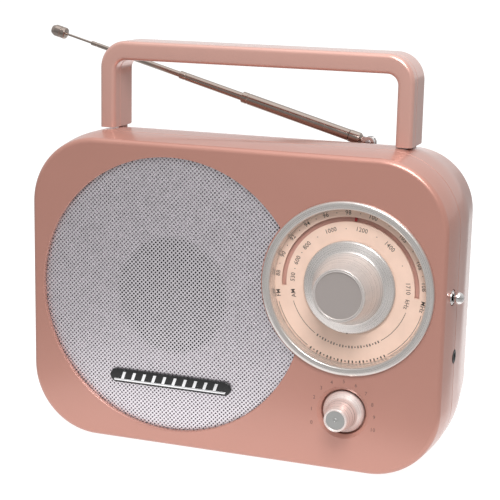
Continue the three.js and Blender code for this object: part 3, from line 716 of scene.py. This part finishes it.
def speaker_grille():
    """Perforated sheet: round holes on a staggered grid, cut away behind the dial."""
    pitch, row, hole, sides = 2.35, 1.2, 0.58, 8
    points, faces, corner_ids = [], [], {}

    def corner(x, z):
        key = (round(x * 100), round(z * 100))
        if key not in corner_ids:
            corner_ids[key] = len(points)
            points.append((x, z))
        return corner_ids[key]

    reach = GRILLE_PLATE_R - pitch / 2
    rows = int(reach / row)
    for j in range(-rows, rows + 1):
        shift = pitch / 2 if j % 2 else 0
        columns = int(reach / pitch) + 1
        for i in range(-columns, columns + 1):
            x = GRILLE.x + i * pitch + shift
            z = GRILLE.z + j * row
            past_plate = math.hypot(x - GRILLE.x, z - GRILLE.z) > reach
            behind_dial = math.hypot(x - DIAL.x, z - DIAL.z) < DIAL_BORE + 2.8
            if past_plate or behind_dial:
                continue
            rim = len(points)
            for k in range(sides):
                across, up = on_circle(hole, 360 * k / sides)
                points.append((x + across, z + up))
            ends = [corner(x + pitch / 2, z), corner(x, z + row), corner(x - pitch / 2, z), corner(x, z - row)]
            for quarter in range(4):
                first = 2 * quarter
                arc = [rim + (first + k) % sides for k in (2, 1, 0)]
                faces.append((ends[quarter], ends[(quarter + 1) % 4], *arc))
    low, high = box_mm("speaker_grille")
    sheet = thick_sheet("grille_sheet", points, faces, low.y, high.y, GRILLE_METAL, 60)
    stand_in(sheet, "case", "grille_metal", "speaker_grille")


def pill(name, centre, half_length, half_height, near, far, round_edge, material, steps=20):
    """A bar with round ends, its near edge rounded."""
    rings = []
    stations = [(far, 0)] + [(near + run, inset) for run, inset in rounded_edge(round_edge, 5)]
    for y, inset in stations:
        ring = []
        radius = half_height - inset
        for side, start in ((1, -90), (-1, 90)):
            end_x = centre.x + side * (half_length - half_height)
            for k in range(steps + 1):
                across, up = on_circle(radius, start + 180 * k / steps)
                ring.append((end_x + across, y, centre.z + up))
        rings.append(ring)
    return make_object(name, *loft_mesh(rings), material)


def slanted_dash(x, low_z, high_z, near, far):
    """An upright stroke that leans to the right."""
    width, lean = 1.7, 1.5
    rings = [[(x, y, low_z), (x + width, y, low_z), (x + width + lean, y, high_z), (x + lean, y, high_z)]
             for y in (near, far)]
    return make_object("trim_dash", *loft_mesh(rings), TRIM_CHROME)


def grille_trim():
    """A black backing with a chrome line along its foot and a row of slanted dashes, without lettering."""
    low, high = box_mm("grille_trim")
    centre = (low + high) / 2
    half_length = (high.x - low.x) / 2
    half_height = (high.z - low.z) / 2
    lift = 0.8
    backing = pill("trim_backing", centre, half_length, half_height, low.y + lift, high.y, 0.4, TRIM_BLACK)
    stand_in(backing, "case", "chrome", "grille_trim")
    near, far = low.y, low.y + lift + 0.1
    line_centre = centre - Vector((0, 0, half_height - 1.9))
    stand_in(pill("trim_line", line_centre, half_length - 2.6, 0.65, near, far, 0.2, TRIM_CHROME), "case", "chrome")
    pitch = 6.1
    for k in range(-5, 5):
        x = centre.x + pitch * (k + 0.5) - 1.6
        dash = slanted_dash(x, line_centre.z + 0.3, centre.z + half_height - 1.2, near, far)
        stand_in(dash, "case", "chrome")


# ---------------------------------------------------------------- dial

def dial_bezel():
    ring = [(42.5, -1.9, 1.0), (44.6, -2.1, 2.0), (46.2, -1.7, 1.2), (DIAL_RIM, -0.3, 0.1), (42.7, -0.3, 0.1),
            (42.7, 4.7, 0.1), (41, 4.7, 0.2), (42.0, -1.1, 0.5)]
    bezel = turn_y("bezel_ring", fillet(ring, closed=True), DIAL, BEZEL_METAL, steps=160, ring=True)
    stand_in(bezel, "case", "plated_silver", "dial_bezel")


def dial_plate():
    """The printed plate, with the curved slot over its upper half."""
    low, high = box_mm("dial_plate")
    radii = (9, 25, SLOT_R - SLOT_HALF, SLOT_R + SLOT_HALF, high.x - DIAL.x)
    steps = 180
    points = []
    for radius in radii:
        for k in range(steps):
            across, up = on_circle(radius, 360 * k / steps)
            points.append((DIAL.x + across, DIAL.z + up))
    faces = []
    slot_from, slot_to = -2, 92
    for band in range(len(radii) - 1):
        for k in range(steps):
            in_slot = slot_from <= (k if k < 135 else k - steps) < slot_to
            if band == 2 and in_slot:
                continue
            m = (k + 1) % steps
            faces.append((band * steps + k, (band + 1) * steps + k, (band + 1) * steps + m, band * steps + m))
    plate = thick_sheet("dial_face", points, faces, low.y, high.y, CREAM)
    stand_in(plate, "case", "dial_cream", "dial_plate")


def on_dial(radius, degrees, depth):
    across, up = on_circle(radius, degrees)
    return Vector((DIAL.x + across, y_at(depth), DIAL.z + up))


def lettering(text, size, centre, degrees, width=1.0):
    """Thin raised figures that face forwards, their tops pointing along degrees."""
    data = bpy.data.curves.new("figures", "FONT")
    data.body = text
    data.size = size * MM
    data.align_x = "CENTER"
    data.align_y = "CENTER"
    data.extrude = PRINT_HEIGHT * MM
    data.offset = 0.02 * MM
    data.resolution_u = 3
    data.space_character = 1.05
    carrier = bpy.data.objects.new("figures", data)
    bpy.context.scene.collection.objects.link(carrier)
    cosine, sine = on_circle(1, degrees)
    up = Vector((cosine, 0, sine))
    right = Vector((sine, 0, -cosine))
    turn_to = Matrix((right * width, up, Vector((0, -1, 0)))).transposed().to_4x4()
    turn_to.translation = Vector(centre) * MM
    graph = bpy.context.evaluated_depsgraph_get()
    mesh = bpy.data.meshes.new_from_object(carrier.evaluated_get(graph))
    mesh.transform(turn_to)
    bpy.data.objects.remove(carrier)
    return mesh


def arc_line(radius, start, end, width, depth, steps=40):
    """A thin printed line along part of a circle on the dial."""
    rings = []
    for k in range(steps + 1):
        degrees = start + (end - start) * k / steps
        inner, outer = (on_dial(radius + side * width / 2, degrees, depth) for side in (-1, 1))
        lift = Vector((0, -PRINT_HEIGHT, 0))
        rings.append([inner, outer, outer + lift, inner + lift])
    return make_mesh(*loft_mesh(rings))


def make_mesh(verts, faces):
    mesh = bpy.data.meshes.new("print")
    mesh.from_pydata([Vector(v) * MM for v in verts], [], faces)
    return mesh


def dot(centre, radius, steps=10):
    outline = [on_circle(radius, 360 * k / steps) for k in range(steps)]
    rings = [[(centre.x + across, y, centre.z + up) for across, up in outline]
             for y in (centre.y - PRINT_HEIGHT, centre.y)]
    return make_mesh(*loft_mesh(rings))


def gather(name, meshes, material):
    """Joins small printed shapes into one piece."""
    work = bmesh.new()
    for mesh in meshes:
        work.from_mesh(mesh)
        bpy.data.meshes.remove(mesh)
    bmesh.ops.recalc_face_normals(work, faces=work.faces)
    joined = bpy.data.meshes.new(name)
    work.to_mesh(joined)
    work.free()
    joined.materials.clear()
    joined.materials.append(material)
    for polygon in joined.polygons:
        polygon.material_index = 0
    piece = bpy.data.objects.new(name, joined)
    bpy.context.scene.collection.objects.link(piece)
    return piece


def dial_print():
    """Two scales of frequencies with dots between them, and below each a row of ticks between two lines."""
    depth = 4.99
    fm = (("FM", -170), ("88", 174.5), ("90", 159), ("92", 143.5), ("94", 127.5), ("96", 111), ("98", 93),
          ("100", 73.5), ("103", 46), ("106", 22.5), ("108", 6), ("MHz", -9.5))
    am = (("AM", -168.5), ("530", 175.5), ("600", 158), ("800", 140), ("1000", 111), ("1200", 80), ("1400", 49),
          ("1710", 4.5), ("kHz", -11))
    shapes = []
    for radius, marks in ((39.5, fm), (31.2, am)):
        for text, degrees in marks:
            shapes.append(lettering(text, 3.3, on_dial(radius, degrees, depth), degrees, 0.95))
    for radius, angles in ((39.6, (166.8, 151.2, 135.4, 119.2, 102, 83.5, 60, 34, 14)),
                           (31.0, (166.8, 149, 126, 95.5, 64, 27))):
        shapes += [dot(on_dial(radius, degrees, depth), 0.26) for degrees in angles]
    foot, line_width, count = -90, 0.28, 22
    for radius, left_end, right_end, ticks_half in ((40.2, -163.5, -16, 33), (32.2, -161, -19, 34)):
        shapes.append(arc_line(radius, left_end, foot - ticks_half, line_width, depth))
        shapes.append(arc_line(radius, foot + ticks_half, right_end, line_width, depth))
        reach = ticks_half - 3
        for k in range(count):
            degrees = foot - reach + 2 * reach * k / (count - 1)
            height = 0.75 if k % 3 == 1 else 1.35
            shapes.append(arc_line(radius, degrees - 0.55, degrees + 0.55, height, depth, 2))
    numbers = gather("dial_numbers", shapes, PRINT)
    stand_in(numbers, "case", "dial_brown")


def volume_print():
    """Numbers 0 to 10 round the volume knob."""
    size, upright, step = 2.8, 90, -22.6
    marks = [(str(k + 1), 17.2, 180 + step * k) for k in range(9)]
    marks += [("0", 18.6, -156), ("10", 18.2, -23.5)]
    shapes = []
    for text, radius, degrees in marks:
        across, up = on_circle(radius, degrees)
        place = Vector((VOLUME.x + across, FRONT_Y - 0.01, VOLUME.z + up))
        shapes.append(lettering(text, size, place, upright))
    numbers = gather("volume_numbers", shapes, CASE_PRINT)
    stand_in(numbers, "case", "dial_brown")


# ---------------------------------------------------------------- knobs and side controls

def knob(name, points, centre, material):
    return turn_y(name, fillet(points, steps=6), centre, material, steps=144, soft_angle=28)


def face_material(piece, centre, radius, depth, material):
    """Gives a second finish to the front faces within a radius, and no deeper than a depth."""
    piece.data.materials.append(material)
    slot = len(piece.data.materials) - 1
    for polygon in piece.data.polygons:
        middle_point = polygon.center / MM
        reach = math.hypot(middle_point.x - centre.x, middle_point.z - centre.z)
        if polygon.material_index == 0 and reach < radius and middle_point.y < y_at(depth):
            polygon.material_index = slot


def tuning_knob():
    points = [
        (0, -15.3, 0), (12.2, -15.3, 0.2), (12.5, -16, 0.15), (12.9, -16, 0.15), (13.1, -15.5, 0.08),
        (13.3, -15.9, 0.08), (13.8, -15.9, 0.3), (14.1, -15.2, 0.2), (19.1, 1.3, 1.2), (20.2, 1.7, 0.3),
        (24.1, 2.9, 0.8), (24.8, 3.6, 0.3), (24.8, 4.6, 0.2), (6, 4.6, 0), (6, 1, 0), (3.4, 1, 0), (3.4, -8, 0),
        (0, -8, 0),
    ]
    tuning = knob("tuning_dial_knob", points, DIAL, KNOB_METAL)
    face_material(tuning, DIAL, 12.3, 1.0, KNOB_CAP)
    face_material(tuning, DIAL, 19.3, 2.3, KNOB_GRIP)
    stand_in(tuning, "tuning_control", "plated_silver", "tuning_knob")
    mark = gather("tuning_knob_mark", [dot(Vector((DIAL.x, y_at(2.95), DIAL.z - 24.0)), 0.7)], PRINT)
    stand_in(mark, "tuning_control", "dial_brown")


def volume_knob():
    points = [
        (0, -13.5, 0), (0.6, -13.5, 0.2), (0.9, -13.9, 0.1), (1.2, -13.5, 0.1), (5.0, -13.5, 0.2), (5.4, -14, 0.15),
        (6.0, -14, 0.25), (6.3, -13.4, 0.2), (6.9, -10.8, 2.0), (8.3, -2.2, 4.0), (11.0, 1.2, 0.5), (11.3, 1.9, 0.2),
        (11.3, 3.8, 0.2), (4, 3.8, 0), (4, 2, 0), (2.9, 2, 0), (2.9, -8, 0), (0, -8, 0),
    ]
    volume = knob("volume_dial_knob", points, VOLUME, VOLUME_METAL)
    face_material(volume, VOLUME, 5.2, 1.0, VOLUME_CAP)
    stand_in(volume, "volume_control", "plated_silver", "volume_knob")


def side_controls():
    low, high = box_mm("band_switch_ring")
    ring = fillet([(2.6, low.x, 0), (3.9, low.x, 0), (3.9, high.x, 0.35), (2.9, high.x, 0.3)], closed=True)
    collar = turn("switch_collar", ring, (0, LEVER.y, LEVER.z), CHROME, "X", 64, ring=True)
    stand_in(collar, "case", "plated_silver", "band_switch_ring")

    low, high = box_mm("band_lever")
    ball = (high.z - low.z) / 2
    centre = high.x - ball
    profile = [(0, low.x), (1.3, low.x), (1.3, centre - ball + 0.25)]
    for degrees in range(-55, 90, 10):
        out, along_x = on_circle(ball, degrees)
        profile.append((out, centre + along_x))
    profile.append((0, centre + ball))
    lever = turn("switch_lever", profile, (0, LEVER.y, LEVER.z), CHROME, "X", 64)
    stand_in(lever, "band_control", "chrome", "band_lever")

    low, high = box_mm("jack_socket")
    socket = fillet([(0, low.x, 0), (4.2, low.x, 0), (4.2, 111.3, 0), (3.6, 115.5, 0), (3.6, high.x, 0.3),
                     (1.9, high.x, 0.3), (1.9, 103, 0), (0, 103, 0)])
    jack = turn("jack_body", socket, (0, JACK.y, JACK.z), BLACK, "X", 48)
    stand_in(jack, "case", "black_plastic", "jack_socket")


# ---------------------------------------------------------------- handle

def handle_ring(y, inset, low_z, high_z, half, leg, steps=14):
    """The U-shaped outline of the strap, drawn in by inset all round."""
    outer_r, inner_r, bar = 15, 6, 10.5
    inner_x = half - leg
    under = high_z - bar
    points = [(inner_x + inset, low_z), (half - inset, low_z)]

    def arc(x, z, radius, start, end):
        for k in range(steps + 1):
            across, up = on_circle(radius, start + (end - start) * k / steps)
            points.append((x + across, z + up))

    arc(half - outer_r, high_z - outer_r, outer_r - inset, 0, 90)
    arc(outer_r - half, high_z - outer_r, outer_r - inset, 90, 180)
    points += [(-half + inset, low_z), (-inner_x - inset, low_z)]
    arc(-inner_x + inner_r, under - inner_r, inner_r + inset, 180, 90)
    arc(inner_x - inner_r, under - inner_r, inner_r + inset, 90, 0)
    return [(x, y, z) for x, z in points]


def handle_half(name, node, rounded_end, material):
    """One moulding of the strap, rounded on its outer face and with a broken edge at the seam."""
    low, high = box_mm(node)
    break_edge, leg = 0.3, 9
    rounded = rounded_edge(2.4, 8)
    if rounded_end == "near":
        stations = [(low.y + run, inset) for run, inset in reversed(rounded)]
        stations += [(high.y - break_edge, 0), (high.y, break_edge)]
    else:
        stations = [(low.y, break_edge), (low.y + break_edge, 0)]
        stations += [(high.y - run, inset) for run, inset in rounded]
    rings = [handle_ring(y, inset, low.z, high.z, high.x, leg) for y, inset in stations]
    verts, faces = loft_mesh(rings)
    count = len(rings[0])
    # The two ends are U-shaped, so each is a strip of four-sided faces from the outer edge to the inner.
    faces = faces[:-2]
    for base in (0, len(verts) - count):
        for k in range(1, count // 2):
            inner = count - k
            faces.append((base + k, base + k + 1, base + inner, base + (inner + 1) % count))
    return make_object(name, verts, faces, material)


def carry_handle():
    stand_in(handle_half("handle_strap_front", "handle_front", "near", HANDLE_ROSE),
             "carry_handle", "rose_handle", "handle_front")
    rear = handle_half("handle_strap_rear", "handle_rear", "far", None)
    low = box_mm("handle_rear")[0]
    pin = middle("handle_pin_right")
    heel = block((-100, pin.y, low.z - 4), (100, pin.y + 8, pin.z))
    carve(heel, bar_x(pin, 4, -101, 101, 96))
    carve(rear, heel)
    for side in (-1, 1):
        x = side * pin.x
        slot = block((x - 1.7, pin.y - 5.4, low.z - 1), (x + 1.7, pin.y + 6, pin.z + 5))
        carve(rear, slot, bar_x(pin, 2, x - 3.5, x + 3.5))
    rear = resurface(rear, HANDLE_ROSE)
    stand_in(rear, "carry_handle", "rose_handle", "handle_rear")


# ---------------------------------------------------------------- antenna

def joint(name):
    return next(j for j in frame["joints"] if j["name"] == name)


def antenna_place():
    """Takes a piece built along +X from the tilt pivot to its place on the radio."""
    out = Vector(joint("antenna_extend_2")["axis"]).normalized()
    across = Vector((0, 1, 0))
    place = Matrix((out, across, out.cross(across))).transposed().to_4x4()
    place.translation = Vector(joint("antenna_tilt")["pos_m"])
    return place


def antenna_piece(name, profile, body, node, **options):
    piece = turn(name, profile, (0, 0, 0), ANTENNA_CHROME_PAINTED_REFLECTION, "X", 48, **options)
    piece.data.transform(antenna_place())
    stand_in(piece, body, "chrome", node)


def antenna_tubes():
    tubes = (
        ("antenna_arm", 1, 3.3, 2.6, 12.3, 78.9),
        ("antenna_tube_2", 2, 2.35, 1.95, 52, 119.3),
        ("antenna_tube_3", 3, 1.7, 1.45, 85.3, 153.3),
        ("antenna_tube_4", 4, 1.3, 0.85, 112.4, 178.4),
    )
    for body, number, outer, bore, start, end in tubes:
        lip = min(0.25, (outer - bore) * 0.45)
        band = outer - 0.12
        profile = fillet([(bore, start, 0), (outer, start, 0), (outer, end - 4.2, 0.1), (band, end - 4.0, 0.1),
                          (band, end - 3.4, 0.1), (outer, end - 3.2, 0.1), (outer, end, lip), (bore, end, lip)],
                         closed=True, steps=4)
        antenna_piece(f"antenna_tube_{number}_fine", profile, body, f"antenna_section_{number}",
                      ring=True, soft_angle=24)
    cap = 3.45
    profile = fillet([(0, 131.7, 0), (0.68, 131.7, 0), (0.68, 195.7, 0), (cap - 0.5, 195.7, 0.3), (cap, 196.3, 0.3),
                      (cap, 198.2, 0.1), (cap - 0.25, 198.4, 0.1), (cap - 0.25, 198.9, 0.1), (cap, 199.1, 0.1),
                      (cap, 202.6, 1.0), (cap - 1.0, 204.8, 1.0), (cap - 2.3, 205.4, 0.4), (0, 205.4, 0)])
    antenna_piece("antenna_rod_fine", profile, "antenna_tip", "antenna_rod")


def antenna_mount():
    """The turret on the ledge and the knuckle that tilts in its fork."""
    spigot = box_mm("antenna_base")[0].z
    pivot = Vector(joint("antenna_tilt")["pos_m"]) / MM
    foot = LEDGE_FLOOR + GAP
    top = foot + 2.4
    profile = fillet([(0, spigot, 0), (2.1, spigot, 0), (2.1, foot, 0),
                      (4.6, foot, 0.2), (4.6, top, 0.5), (0, top, 0)])
    turret = turn("antenna_turret_base", profile, (pivot.x, pivot.y, 0), CHROME, "Z", 64)
    stand_in(turret, "antenna_turret", "chrome", "antenna_base")
    radius, thickness = 3.4, 1.5
    for index, near in enumerate((pivot.y - 2 * thickness, pivot.y + thickness)):
        outline = [(radius, top - 0.3 - pivot.z)]
        outline += [on_circle(radius, 9 * k) for k in range(21)]
        outline.append((-radius, top - 0.3 - pivot.z))
        rings = [[(pivot.x + across, y, pivot.z + up) for across, up in outline] for y in (near, near + thickness)]
        cheek = make_object(f"antenna_cheek_{index + 1}", *loft_mesh(rings), CHROME)
        stand_in(cheek, "antenna_turret", "chrome")
    rivet = fillet([(0, -3.6, 0), (1.6, -3.5, 0.2), (1.6, -3.0, 0), (1.2, -3.0, 0), (1.2, 3.0, 0), (1.6, 3.0, 0),
                    (1.6, 3.5, 0.2), (0, 3.6, 0)])
    stand_in(turn("antenna_rivet", rivet, pivot, STEEL, "Y", 32), "antenna_turret", "chrome")

    collar = fillet([(0, 4.6, 0), (2.3, 4.6, 0.3), (3.5, 6.0, 0.5), (3.5, 12, 0.3), (0, 12, 0)])
    antenna_piece("antenna_collar", collar, "antenna_arm", "antenna_knuckle")
    section = fillet([(1.6, -1.2, 0), (3.2, -1.2, 0.2), (3.2, 1.2, 0.2), (1.6, 1.2, 0)], closed=True)
    tongue = turn("antenna_tongue", section, (0, 0, 0), CHROME, "Y", 48, ring=True)
    neck = block((2.0, -1.2, -2.2), (6.0, 1.2, 2.2), CHROME, "antenna_neck")
    for piece in (tongue, neck):
        piece.data.transform(antenna_place())
        stand_in(piece, "antenna_arm", "chrome")


# ---------------------------------------------------------------- back of the case

def rounded_block(name, low, high, radius, material, segments=4):
    piece = block(low, high, None, name)
    work = bmesh.new()
    work.from_mesh(piece.data)
    bmesh.ops.bevel(work, geom=list(work.edges), offset=radius * MM, segments=segments, affect="EDGES", profile=0.5)
    work.to_mesh(piece.data)
    work.free()
    return resurface(piece, material)


def battery_door():
    low, high = box_mm("battery_door")
    face, pitch = BACK_Y, 2.2
    plate = rounded_block("battery_door_panel", (low.x, face - 2.2, low.z), (high.x, face, high.z), 0.5, ROSE)
    stand_in(plate, "battery_cover", "rose_case", "battery_door")
    middle_x = (low.x + high.x) / 2
    for row in range(5):
        z = high.z - 5 - pitch * row
        rib_low, rib_high = (middle_x - 13, face - 0.6, z), (middle_x + 13, face + 0.6, z + 0.9)
        rib = rounded_block(f"door_rib_{row + 1}", rib_low, rib_high, 0.35, ROSE, 3)
        stand_in(rib, "battery_cover", "rose_case")
    latch = rounded_block("door_latch", (middle_x - 9, face - 5, high.z - 6), (middle_x + 9, face - 2.1, high.z - 3),
                          0.4, ROSE, 3)
    stand_in(latch, "battery_cover", "rose_case")


def case_screws():
    for index, place in enumerate(screw_places()):
        low, high = box_mm(f"case_screw_{index + 1}")
        head = high.y
        profile = fillet([(0, low.y, 0), (1.5, low.y + 2, 0), (1.5, head - 2.5, 0), (3.3, head - 2.5, 0.2),
                          (3.4, head - 1, 0.8), (2.4, head, 0.6), (0, head, 0)])
        screw = turn(f"case_screw_fine_{index + 1}", profile, (place.x, 0, place.z), None, steps=40)
        for half_x, half_z in ((2.0, 0.4), (0.4, 2.0)):
            slot_low = (place.x - half_x, head - 1.3, place.z - half_z)
            slot_high = (place.x + half_x, head + 1, place.z + half_z)
            carve(screw, block(slot_low, slot_high))
        screw = resurface(screw, STEEL)
        stand_in(screw, "case", "steel", f"case_screw_{index + 1}")


def mains_inlet():
    """A small two-pin inlet with a figure-of-eight well."""
    low, high = box_mm("mains_inlet")
    centre = (low + high) / 2
    body = block(tuple(low), tuple(high), None, "inlet_body")
    offset, lobe = 4.2, 4.1
    well_floor, mouth = 70, DEPTH + 1
    axes = [centre + Vector((side * offset, 0, 0)) for side in (-1, 1)]
    carve(body, *[bar_y(axis, lobe, well_floor, mouth, 48) for axis in axes])
    waist_low, waist_high = axes[0] - Vector((0, 0, 2.9)), axes[1] + Vector((0, 0, 2.9))
    carve(body, block((waist_low.x, y_at(well_floor), waist_low.z), (waist_high.x, y_at(mouth), waist_high.z)))
    body = resurface(body, BLACK)
    stand_in(body, "case", "black_plastic", "mains_inlet")
    root, tip = well_floor - 1, DEPTH - 3
    pin = fillet([(0, root, 0), (1.2, root, 0), (1.2, tip, 0.5), (0, tip, 0)])
    for index, axis in enumerate(axes):
        stand_in(turn_y(f"inlet_pin_{index + 1}", pin, axis, STEEL, steps=32), "case", "steel")


def finish_cad_nodes():
    """Materials for the pieces whose solids are shown as they are; those not listed are steel."""
    finishes = {
        "speaker_baffle": BAFFLE, "speaker_cone": PAPER, "speaker_magnet": FERRITE, "pointer_disc": BROWN,
        "dial_pointer": POINTER_RED, "tuning_capacitor": WHITE, "circuit_board": BOARD, "filter_capacitor": BLACK,
        "audio_chip": BLACK, "ferrite_rod": FERRITE, "ferrite_coil": COIL_WIRE, "ferrite_clip_1": WHITE,
        "ferrite_clip_2": WHITE, "transformer_winding": WINDING_WIRE,
    }
    for name, node in frame["nodes"].items():
        node.data.materials.clear()
        node.data.materials.append(finishes.get(name, STEEL))
        node.data.shade_smooth()
        node.data.set_sharp_from_angle(angle=math.radians(30))


front_shell()
rear_shell()
speaker_grille()
grille_trim()
dial_bezel()
dial_plate()
dial_print()
volume_print()
tuning_knob()
volume_knob()
side_controls()
carry_handle()
antenna_tubes()
antenna_mount()
battery_door()
case_screws()
mains_inlet()
finish_cad_nodes()
